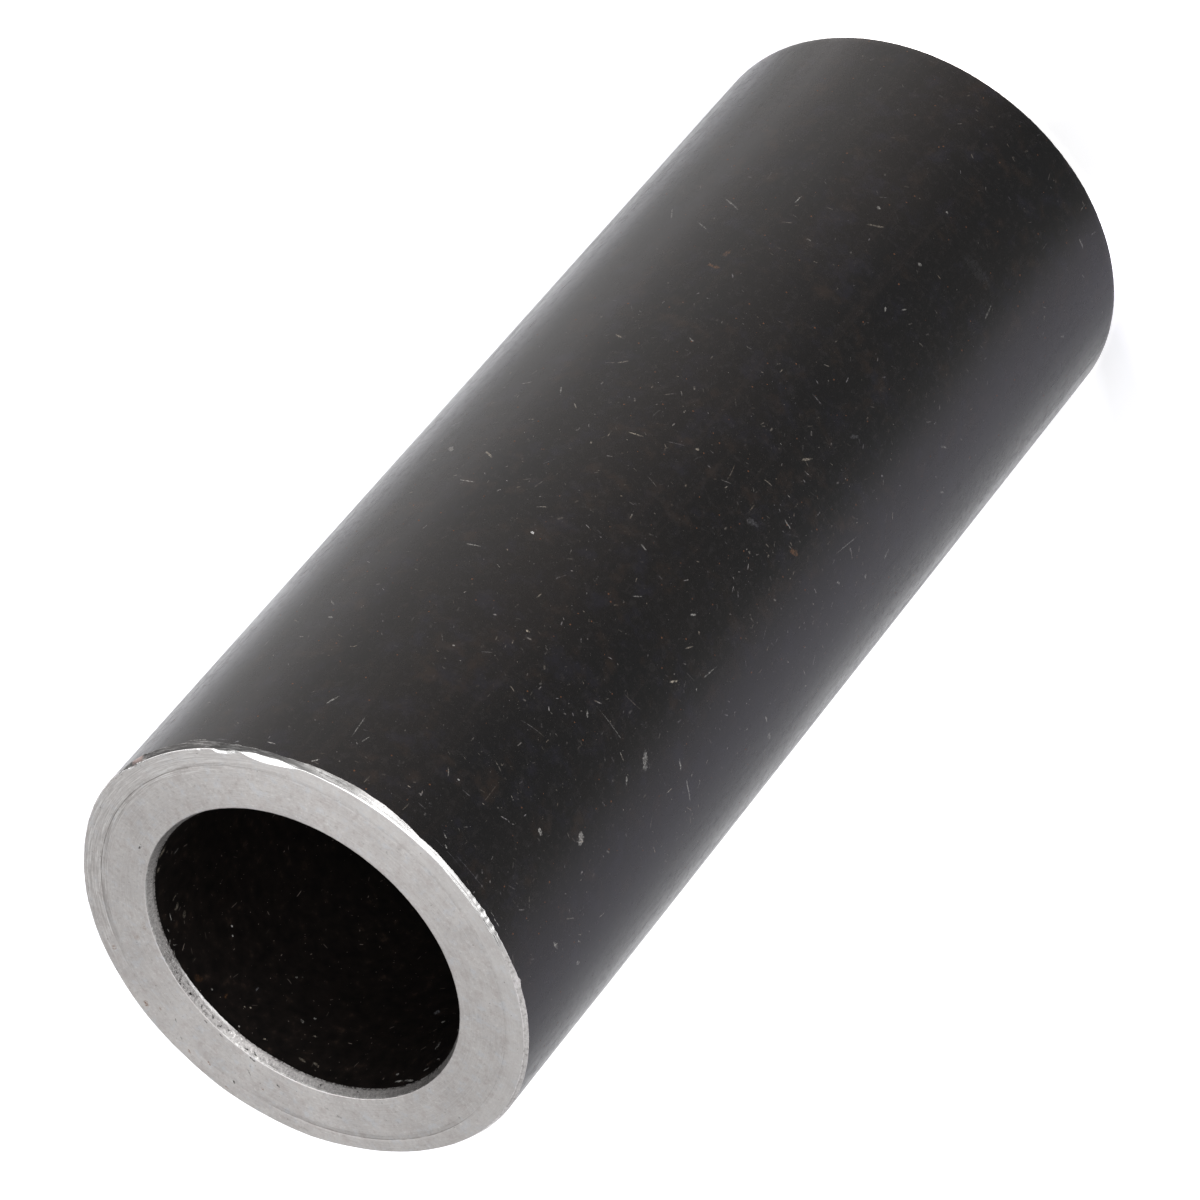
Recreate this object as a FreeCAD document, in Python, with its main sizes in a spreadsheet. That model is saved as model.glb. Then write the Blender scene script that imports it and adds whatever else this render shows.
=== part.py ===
"""Plain steel bushing: one piece of thick-walled tube, cut to length, faced at both ends.

The axis is +Z. The lower faced end stands on z = 0 and the origin is the middle of that end.
The outside keeps the dark skin of the tube, and the end faces, the small break on the outer
edges and the chamfer at each mouth of the bore are turned. Millimetres throughout.
"""

import FreeCAD, Part
import math
import os

import Sketcher

doc = FreeCAD.newDocument("bushing")

# ---------------------------------------------------------------------------
# Driving dimensions
# ---------------------------------------------------------------------------
SIZES = [
    # alias, value, what it is
    ("outer_diameter", "51", "outside of the tube"),
    ("bore_diameter", "35", "bore, straight through"),
    ("overall_length", "133", "end face to end face"),
    ("edge_break_radial", "0.45", "break on the outer edges, measured along the radius"),
    ("edge_break_axial", "0.45", "break on the outer edges, measured along the axis"),
    ("mouth_chamfer_radial", "0.45", "chamfer at the bore's mouths, along the radius"),
    ("mouth_chamfer_axial", "1.1", "chamfer at the bore's mouths, along the axis"),
]
dims = doc.addObject("Spreadsheet::Sheet", "dims")
dims.set("A1", "dimension")
dims.set("B1", "mm")
dims.set("C1", "what it is")
for row, (alias, value, note) in enumerate(SIZES, start=2):
    dims.set("A%d" % row, alias)
    dims.set("B%d" % row, value)
    dims.setAlias("B%d" % row, alias)
    dims.set("C%d" % row, note)
doc.recompute()


def size(alias):
    return float(getattr(dims, alias))


# ---------------------------------------------------------------------------
# The sleeve: a turned ring profile, revolved once about the axis
# ---------------------------------------------------------------------------
body = doc.addObject("PartDesign::Body", "sleeve_body")
body.Label = "bushing_sleeve"
planes = {p.Role: p for p in body.Origin.OriginFeatures}

profile = body.newObject("Sketcher::SketchObject", "wall_profile")
profile.AttachmentSupport = [(planes["XZ_Plane"], "")]
profile.MapMode = "FlatFace"
doc.recompute()

r_out = size("outer_diameter") / 2
r_in = size("bore_diameter") / 2
length = size("overall_length")
eb_r, eb_z = size("edge_break_radial"), size("edge_break_axial")
mc_r, mc_z = size("mouth_chamfer_radial"), size("mouth_chamfer_axial")

# Half section of the wall, run round from the lower end face: lower face, lower edge break,
# outside, upper edge break, upper face, upper mouth chamfer, bore, lower mouth chamfer.
corners = [
    (r_in + mc_r, 0.0),
    (r_out - eb_r, 0.0),
    (r_out, eb_z),
    (r_out, length - eb_z),
    (r_out - eb_r, length),
    (r_in + mc_r, length),
    (r_in, length - mc_z),
    (r_in, mc_z),
]
for i, (x, y) in enumerate(corners):
    x2, y2 = corners[(i + 1) % len(corners)]
    profile.addGeometry(
        Part.LineSegment(FreeCAD.Vector(x, y, 0), FreeCAD.Vector(x2, y2, 0)), False
    )
n = len(corners)
for i in range(n):
    profile.addConstraint(Sketcher.Constraint("Coincident", i, 2, (i + 1) % n, 1))

LOWER_FACE, LOWER_BREAK, OUTSIDE, UPPER_BREAK = 0, 1, 2, 3
UPPER_FACE, UPPER_MOUTH, BORE, LOWER_MOUTH = 4, 5, 6, 7
ORIGIN = (-1, 1)

profile.addConstraint(Sketcher.Constraint("PointOnObject", LOWER_FACE, 1, -1))
profile.addConstraint(Sketcher.Constraint("Horizontal", LOWER_FACE))
profile.addConstraint(Sketcher.Constraint("Horizontal", UPPER_FACE))
profile.addConstraint(Sketcher.Constraint("Vertical", OUTSIDE))
profile.addConstraint(Sketcher.Constraint("Vertical", BORE))


def drive(name, constraint, formula):
    """Adds a named dimension to the profile and binds it to the sheet."""
    index = profile.addConstraint(constraint)
    profile.renameConstraint(index, name)
    profile.setExpression("Constraints." + name, formula)


C = Sketcher.Constraint
drive("outer_radius", C("DistanceX", *ORIGIN, OUTSIDE, 1, r_out), "dims.outer_diameter / 2")
drive("bore_radius", C("DistanceX", *ORIGIN, BORE, 1, r_in), "dims.bore_diameter / 2")
drive("full_length", C("DistanceY", *ORIGIN, UPPER_FACE, 1, length), "dims.overall_length")
drive("lower_break_r", C("DistanceX", LOWER_BREAK, 1, LOWER_BREAK, 2, eb_r), "dims.edge_break_radial")
drive("lower_break_z", C("DistanceY", LOWER_BREAK, 1, LOWER_BREAK, 2, eb_z), "dims.edge_break_axial")
drive("upper_break_r", C("DistanceX", UPPER_BREAK, 2, UPPER_BREAK, 1, eb_r), "dims.edge_break_radial")
drive("upper_break_z", C("DistanceY", UPPER_BREAK, 1, UPPER_BREAK, 2, eb_z), "dims.edge_break_axial")
drive("upper_mouth_r", C("DistanceX", UPPER_MOUTH, 2, UPPER_MOUTH, 1, mc_r), "dims.mouth_chamfer_radial")
drive("upper_mouth_z", C("DistanceY", UPPER_MOUTH, 2, UPPER_MOUTH, 1, mc_z), "dims.mouth_chamfer_axial")
drive("lower_mouth_r", C("DistanceX", LOWER_MOUTH, 1, LOWER_MOUTH, 2, mc_r), "dims.mouth_chamfer_radial")
drive("lower_mouth_z", C("DistanceY", LOWER_MOUTH, 2, LOWER_MOUTH, 1, mc_z), "dims.mouth_chamfer_axial")
doc.recompute()

turned = body.newObject("PartDesign::Revolution", "turned_sleeve")
turned.Profile = profile
turned.ReferenceAxis = (profile, ["V_Axis"])
turned.Angle = 360.0
profile.Visibility = False
body.Tip = turned
body.Placement = FreeCAD.Placement(FreeCAD.Vector(0, 0, 0), FreeCAD.Rotation())
doc.recompute()

# ---------------------------------------------------------------------------
# Checks, then one file for each piece
# ---------------------------------------------------------------------------
bad = [o.Name for o in doc.Objects if any(s in ("Invalid", "Error") for s in o.State)]
if bad:
    raise RuntimeError("features failed: " + ", ".join(bad))

if profile.solve() != 0:
    raise RuntimeError("the profile's dimensions conflict")
print("profile: free dimensions", profile.FullyConstrained and "none" or "some")


def cone_frustum(r_a, r_b, h):
    return math.pi * h * (r_a * r_a + r_a * r_b + r_b * r_b) / 3.0


wanted = (
    math.pi * r_out**2 * (length - 2 * eb_z)
    + 2 * cone_frustum(r_out, r_out - eb_r, eb_z)
    - math.pi * r_in**2 * (length - 2 * mc_z)
    - 2 * cone_frustum(r_in, r_in + mc_r, mc_z)
)

os.makedirs("parts", exist_ok=True)
pieces = [body]
for piece in pieces:
    shape = piece.Shape
    if shape.isNull() or not shape.isValid():
        raise RuntimeError(piece.Label + ": no valid shape")
    if len(shape.Solids) != 1:
        raise RuntimeError(piece.Label + ": not one solid")
    if abs(shape.Volume - wanted) > 1e-3 * wanted:
        raise RuntimeError(piece.Label + ": volume %.1f, wanted %.1f" % (shape.Volume, wanted))
    box = shape.optimalBoundingBox(False)
    print(
        "%s: %.1f mm3, faces %d, x %.3f..%.3f y %.3f..%.3f z %.3f..%.3f"
        % (piece.Label, shape.Volume, len(shape.Faces), box.XMin, box.XMax, box.YMin, box.YMax, box.ZMin, box.ZMax)
    )
    shape.exportStep("parts/" + piece.Label + ".step")
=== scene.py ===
import math

import bpy
import numpy as np
from mathutils import Matrix, Vector


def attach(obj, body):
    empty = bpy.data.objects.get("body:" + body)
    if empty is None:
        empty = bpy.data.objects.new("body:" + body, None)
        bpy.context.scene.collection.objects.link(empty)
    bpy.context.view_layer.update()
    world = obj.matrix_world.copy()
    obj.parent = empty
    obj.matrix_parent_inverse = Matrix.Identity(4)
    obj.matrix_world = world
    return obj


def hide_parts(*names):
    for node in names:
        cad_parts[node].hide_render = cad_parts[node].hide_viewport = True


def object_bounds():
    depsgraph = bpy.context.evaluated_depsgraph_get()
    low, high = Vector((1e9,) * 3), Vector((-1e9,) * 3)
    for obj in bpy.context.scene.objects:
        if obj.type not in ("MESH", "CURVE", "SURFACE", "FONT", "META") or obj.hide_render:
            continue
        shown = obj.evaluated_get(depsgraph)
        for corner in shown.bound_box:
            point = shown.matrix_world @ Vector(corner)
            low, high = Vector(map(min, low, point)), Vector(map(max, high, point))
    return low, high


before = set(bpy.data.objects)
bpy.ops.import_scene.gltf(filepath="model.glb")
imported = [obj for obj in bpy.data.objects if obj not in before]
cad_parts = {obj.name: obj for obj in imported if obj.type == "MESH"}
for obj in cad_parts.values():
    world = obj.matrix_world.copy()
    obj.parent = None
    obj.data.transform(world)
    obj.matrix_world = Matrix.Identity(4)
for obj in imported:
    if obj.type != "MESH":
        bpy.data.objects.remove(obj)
cad_lo, cad_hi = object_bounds()

MM = 0.001

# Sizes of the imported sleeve, in millimetres. The outside and the length are read from the
# frame; the bore and the chamfers are the turned sizes.
LENGTH = (cad_hi.z - cad_lo.z) / MM
R_OUT = 25.5
R_IN = 17.5
BREAK_R, BREAK_Z = 0.45, 0.45
MOUTH_R, MOUTH_Z = 0.45, 1.10
RING_R = 23.08          # the fine line left on the end face by the turning tool

N_ROUND = 1080

rng = np.random.default_rng(51351)


# ---------------------------------------------------------------------------
# Small periodic irregularities
# ---------------------------------------------------------------------------
PHI = np.linspace(-math.pi, math.pi, N_ROUND, endpoint=False)


def waver(k_lo, k_hi, count, fall=0.5):
    """A smooth random line round the circle, between about -1 and 1, that closes on itself."""
    out = np.zeros(N_ROUND)
    for k in rng.integers(k_lo, k_hi + 1, count):
        out += np.cos(k * PHI + rng.uniform(0, 2 * math.pi)) * (k / k_lo) ** -fall
    return out / max(1e-9, np.abs(out).max())


def bump_at(deg, half_width_deg, power=2.0):
    """1 at an angle, falling to 0 over half_width_deg on both sides."""
    d = (np.degrees(PHI) - deg + 180) % 360 - 180
    return np.exp(-np.abs(d / half_width_deg) ** power)


def between(lo, hi, soft):
    """1 between two angles, with soft ends."""
    d = np.degrees(PHI)
    rise = np.clip((d - lo) / soft + 0.5, 0, 1)
    drop = np.clip((hi - d) / soft + 0.5, 0, 1)
    f = rise * drop
    return f * f * (3 - 2 * f)


# ---------------------------------------------------------------------------
# The section, ring by ring. Each entry is (radius, height, part), arrays or numbers.
# Parts: 0 skin, 1 end face, 2 outer edge break, 3 mouth chamfer, 4 bore
# ---------------------------------------------------------------------------
SKIN, FACE, BREAK, MOUTH, BORE = range(5)
rings = []              # (r array, z array, part of the band that follows)


def ring(r, z, part):
    rings.append((np.zeros(N_ROUND) + r, np.zeros(N_ROUND) + z, part))


top = LENGTH
DEG = np.degrees(PHI)


def by_angle(*points):
    """A value that runs through (degrees, value) points round the circle."""
    pts = sorted(points)
    return np.interp(DEG, [p[0] for p in pts], [p[1] for p in pts], period=360)


# The turned surfaces at the upper end have uneven borders. Where the flat face ends: pulled in where
# the tool left slivers, ragged near -115, and out to the rim past the burr at -13.
face_end = by_angle(
    (-175, 25.08), (-150, 25.10), (-135, 25.12), (-128, 25.16), (-121, 25.20), (-119.5, 25.08), (-116, 25.14),
    (-112, 25.03), (-108, 24.98), (-103, 25.02), (-100, 25.12), (-98, 25.10), (-92, 25.05), (-84, 25.02),
    (-77, 24.97), (-70, 24.93), (-63.5, 24.95), (-61.7, 24.84), (-60, 24.62), (-58.2, 24.44), (-56, 24.32),
    (-54, 24.26), (-52, 24.30), (-50, 24.46), (-48.3, 24.70), (-47, 25.00), (-46.3, 25.02), (-45.6, 24.78),
    (-43, 24.58), (-41, 24.60), (-39.8, 24.74), (-39.2, 25.04), (-36.6, 25.06), (-36.0, 24.92), (-35.3, 24.93),
    (-34.8, 25.06), (-20, 25.06), (-17.5, 25.00), (-15.5, 25.14), (-13.8, 24.96), (-12.6, 25.10), (-10.5, 25.30),
    (0, 25.34), (10, 25.20), (22, 25.06), (35, 25.06), (48, 25.08), (60, 25.0), (72, 25.02), (84, 24.95), (96, 25.05),
    (108, 24.92), (120, 24.88), (132, 24.62), (144, 24.58), (156, 24.66), (168, 24.86), (178, 25.02),
)
# The width of the small inner facet between the face and the break, and the depth of the skin's edge.
facet_end = np.maximum(by_angle(
    (-175, 24.0), (-128, 24.0), (-124, 25.20), (-121, 25.24), (-119, 25.16), (-112, 25.12), (-104, 25.12), (-100, 25.17),
    (-92, 25.16), (-84, 25.14), (-76, 25.08), (-70, 25.01), (-63.5, 25.00), (-61.7, 24.90), (-58, 25.03),
    (-54, 25.12), (-50, 25.10), (-47, 25.04), (-43, 25.12), (-39.5, 25.08), (-34.5, 25.09), (-20, 25.10),
    (-12, 25.14), (-10.5, 24.0), (22, 24.0), (60, 24.0), (140, 24.0),
), face_end + 0.015)
skin_depth = by_angle(
    (-172, 0.36), (-165, 0.34), (-155, 0.32), (-149, 0.36), (-142, 0.42), (-136, 0.44), (-134, 0.60), (-132.6, 0.44),
    (-126, 0.32), (-121, 0.28), (-116, 0.38), (-111, 0.32), (-106, 0.32), (-101.5, 0.38), (-97, 0.44), (-93, 0.36),
    (-88, 0.58), (-83, 0.72), (-79.5, 0.70), (-76, 0.76), (-71, 0.60), (-67, 0.62), (-64, 0.50), (-61, 0.38),
    (-57.5, 0.30), (-52, 0.38), (-46.5, 0.42), (-42.8, 0.42), (-38.5, 0.62), (-36, 0.74), (-33.5, 0.66), (-30, 0.56),
    (-26, 0.60), (-20, 0.56), (-15.5, 0.56), (-13, 0.36), (-10.5, 0.24), (0, 0.22), (22, 0.28), (40, 0.38), (60, 0.45), (108, 0.50),
    (120, 0.60), (132, 0.75), (144, 0.80), (156, 0.80), (168, 0.70), (180, 0.42),
)
# the tube is a little out of round near this end, on the far side
inward = by_angle(
    (-172, 0.0), (-5, 0.0), (4, 0.04), (12, 0.12), (24, 0.24), (36, 0.10), (48, 0.06), (60, 0.09), (72, 0.06), (84, 0.10), (96, 0.0),
    (108, 0.08), (120, 0.10), (132, 0.28), (144, 0.38), (156, 0.38), (168, 0.34), (178, 0.20),
)
inward = np.convolve(np.concatenate([inward, inward, inward]), np.hanning(25) / np.hanning(25).sum(), "same")[N_ROUND:2 * N_ROUND]


def outer(z):
    """The radius of the skin at a height."""
    f = np.clip((z - (top - 26)) / 22, 0, 1)
    return R_OUT - inward * f * f * (3 - 2 * f)


r_skin = outer(top - 0.5)
ragged = 1 - between(-66, -36, 6) * 0.6
face_end = face_end + (waver(30, 110, 40, 0.3) * 0.012 + waver(120, 300, 40, 0.2) * 0.010) * ragged
facet_end = np.maximum(facet_end + waver(60, 260, 50, 0.2) * 0.010, face_end + 0.015)
skin_depth = skin_depth + waver(20, 90, 40, 0.3) * 0.035 + waver(100, 300, 60, 0.2) * 0.030
# nicks where the highlight is ragged, and the two chips in the dark part of the break
for deg, w, depth in (
    (-109.6, 0.30, 0.03), (-111.8, 0.45, 0.05), (-113.4, 0.25, 0.04), (-115.3, 0.50, 0.06), (-117.2, 0.30, 0.05),
    (-119.3, 0.45, 0.06), (-121.4, 0.25, 0.05), (-124.0, 0.4, 0.03), (-98.6, 0.35, 0.03),
):
    face_end -= bump_at(deg, w) * depth * 0.7
    skin_depth += bump_at(deg + 0.4, w * 1.2) * depth * 1.8
for deg, w, depth in ((-45.6, 0.9, 0.05), (-63.8, 0.9, 0.05), (-37.0, 1.2, 0.06), (-134.1, 0.5, 0.10), (-17.4, 0.6, 0.22), (-12.4, 0.5, 0.14)):
    skin_depth += bump_at(deg, w) * depth
skin_depth = np.clip(skin_depth, 0.12, 1.1)
sz = top - skin_depth
mouth_rim = waver(5, 60, 30, 0.5) * 0.015 + waver(60, 260, 50, 0.2) * 0.018
mouth_low = waver(3, 50, 30, 0.5) * 0.07 + waver(60, 260, 50, 0.2) * 0.035

inner_edge = R_IN + MOUTH_R + mouth_rim
inner_land = inner_edge + 0.05                 # a fine worn edge between the face and the mouth's chamfer
ring(inner_edge, top - 0.03, FACE)
ring(inner_land, top - 0.001, FACE)
for f in (0.015, 0.3, 0.6, 0.9):
    ring(inner_land * (1 - f) + (RING_R - 0.30) * f, top, FACE)
# the tool's line is cut deeper on one side
groove = 0.001 + 0.004 * (between(-38, 48, 24) + between(112, 170, 16))
for dr, dz in ((-0.05, 0.0), (-0.012, 1.0), (0.012, 1.0), (0.05, 0.0), (0.35, 0.0)):
    ring(RING_R + dr, top - groove * dz, FACE)
for f in (0.45, 0.8, 0.97):
    ring((RING_R + 0.35) * (1 - f) + face_end * f, top, FACE)
# the inner facet falls gently, then a fine step, then the break with a break of slope half way
ring(face_end, top, BREAK)
fall = (facet_end - face_end) * 0.20
facet_ring = len(rings)
ring(facet_end, top - fall, BREAK)
step_r = np.minimum(facet_end + 0.02, r_skin - 0.1)
step_z = top - fall - np.minimum(0.05, skin_depth * 0.15)
ring(step_r, step_z, BREAK)
# a turned-over burr beside two gouges, at the left of the picture
burr = bump_at(-14.9, 1.5, 4.0) * 0.15 - bump_at(-14.2, 0.25) * 0.08 - bump_at(-15.5, 0.25) * 0.08 - bump_at(-12.4, 0.6) * 0.10 - bump_at(-17.6, 0.6) * 0.10
wob = waver(8, 120, 40, 0.4) * 0.010 + burr
for f, lift in ((0.12, 0.004), (0.34, 0.016), (0.56, 0.012), (0.62, -0.006), (0.85, 0.008), (0.96, 0.004)):
    ring(step_r * (1 - f) + r_skin * f, step_z * (1 - f) + sz * f + lift + wob * (f < 0.9), BREAK)
ring(r_skin - 0.002, sz, BREAK)
ring(outer(sz - 0.02), sz - 0.02, SKIN)
for dz in (0.10, 0.3, 0.7, 1.3, 2.4):
    ring_z = sz * (1 - min(1, dz / 3)) + (top - BREAK_Z) * min(1, dz / 3) - dz
    ring(outer(ring_z), ring_z, SKIN)
for z in np.linspace(top - 6, 6, 24):
    ring(outer(z), z, SKIN)
low_rim = waver(3, 50, 30, 0.6) * 0.05 + waver(60, 240, 40, 0.2) * 0.03
low_sz = np.clip(BREAK_Z + low_rim, 0.3, 0.7)
for z in (3.0, 1.4):
    ring(R_OUT, z, SKIN)
ring(R_OUT, low_sz + 0.02, SKIN)
ring(R_OUT - 0.002, low_sz, BREAK)
low_face = R_OUT - BREAK_R + np.minimum(waver(3, 60, 30, 0.5) * 0.03, 0.03)
ring(R_OUT * 0.5 + low_face * 0.5 + 0.01, low_sz * 0.5, BREAK)
low_edge = R_IN + MOUTH_R + waver(5, 80, 30, 0.4) * 0.015
ring(low_face, 0.0, FACE)
for dr, dz in ((0.06, 0.0), (0.015, 0.016), (-0.015, 0.016), (-0.06, 0.0)):
    ring(RING_R + dr, dz, FACE)
low_mouth = waver(3, 50, 30, 0.5) * 0.06
for f in (0.0, 0.5):
    ring(low_edge * (1 - f) + R_IN * f, (MOUTH_Z + low_mouth) * f, MOUTH)
ring(R_IN, MOUTH_Z + low_mouth, BORE)
for z in np.linspace(8, top - 8, 4):
    ring(R_IN, z, BORE)
up = top - MOUTH_Z + mouth_low
for dz in (2.5, 0.5):
    ring(R_IN, up - dz, BORE)
chat = waver(120, 330, 60, 0.1)
chat2 = waver(60, 330, 60, 0.1)
for f in (0.0, 0.10, 0.28, 0.46, 0.64, 0.82, 0.94):
    mid = math.sin(math.pi * f)
    c = chat * (1 - f) + chat2 * f
    ring(R_IN * (1 - f) + inner_edge * f + c * 0.012 * mid, up * (1 - f) + (top - 0.03) * f + c * 0.014 * mid, MOUTH)

# ---------------------------------------------------------------------------
# The mesh
# ---------------------------------------------------------------------------
n_rings = len(rings)
cos, sin = np.cos(PHI), np.sin(PHI)
verts = np.empty((n_rings, N_ROUND, 3))
for i, (r, z, part) in enumerate(rings):
    verts[i, :, 0] = r * cos
    verts[i, :, 1] = r * sin
    verts[i, :, 2] = z
verts[..., 2] = np.clip(verts[..., 2], 0, LENGTH)
verts = verts.reshape(-1, 3) * MM

k = np.arange(N_ROUND)
k1 = (k + 1) % N_ROUND
faces, parts = [], []
for i, (r, z, part) in enumerate(rings):
    j = (i + 1) % n_rings
    quad = np.stack([i * N_ROUND + k, j * N_ROUND + k, j * N_ROUND + k1, i * N_ROUND + k1], 1)
    faces.append(quad)
    parts.append(np.full(N_ROUND, part))
faces = np.concatenate(faces)
parts = np.concatenate(parts)

mesh = bpy.data.meshes.new("bushing_sleeve_turned")
mesh.vertices.add(len(verts))
mesh.vertices.foreach_set("co", verts.astype(np.float32).ravel())
mesh.loops.add(faces.size)
mesh.loops.foreach_set("vertex_index", faces.ravel().astype(np.int32))
mesh.polygons.add(len(faces))
mesh.polygons.foreach_set("loop_start", np.arange(0, faces.size, 4, dtype=np.int32))
mesh.polygons.foreach_set("material_index", parts.astype(np.int32))
mesh.update(calc_edges=True)

sleeve = bpy.data.objects.new("bushing_sleeve_turned", mesh)
bpy.context.scene.collection.objects.link(sleeve)

# wrapped coordinates in millimetres: round the outside, and along the axis
wrap = mesh.uv_layers.new(name="wrap_mm")
u = np.empty((n_rings, N_ROUND, 4, 2))
for i in range(n_rings):
    j = (i + 1) % n_rings
    u[i, :, 0, 0] = u[i, :, 1, 0] = k
    u[i, :, 2, 0] = u[i, :, 3, 0] = k + 1
    u[i, :, 0, 1] = rings[i][1]
    u[i, :, 1, 1] = rings[j][1]
    u[i, :, 2, 1] = rings[j][1][k1]
    u[i, :, 3, 1] = rings[i][1][k1]
u[..., 0] *= 2 * math.pi * R_OUT / N_ROUND
wrap.data.foreach_set("uv", u.astype(np.float32).ravel())

# The main marks seen on the sleeve, listed one by one. Every face of the mesh near a mark carries the
# mark's own coordinates, so a material can draw it: x along it and y across it, both 1 at its edge.
PALE, WARM, GREY, RUST, DARK, BRIGHT = (
    (0.42, 0.41, 0.39), (0.44, 0.39, 0.32), (0.24, 0.24, 0.26), (0.22, 0.105, 0.045), (0.03, 0.027, 0.025), (0.85, 0.85, 0.84),
)
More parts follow.
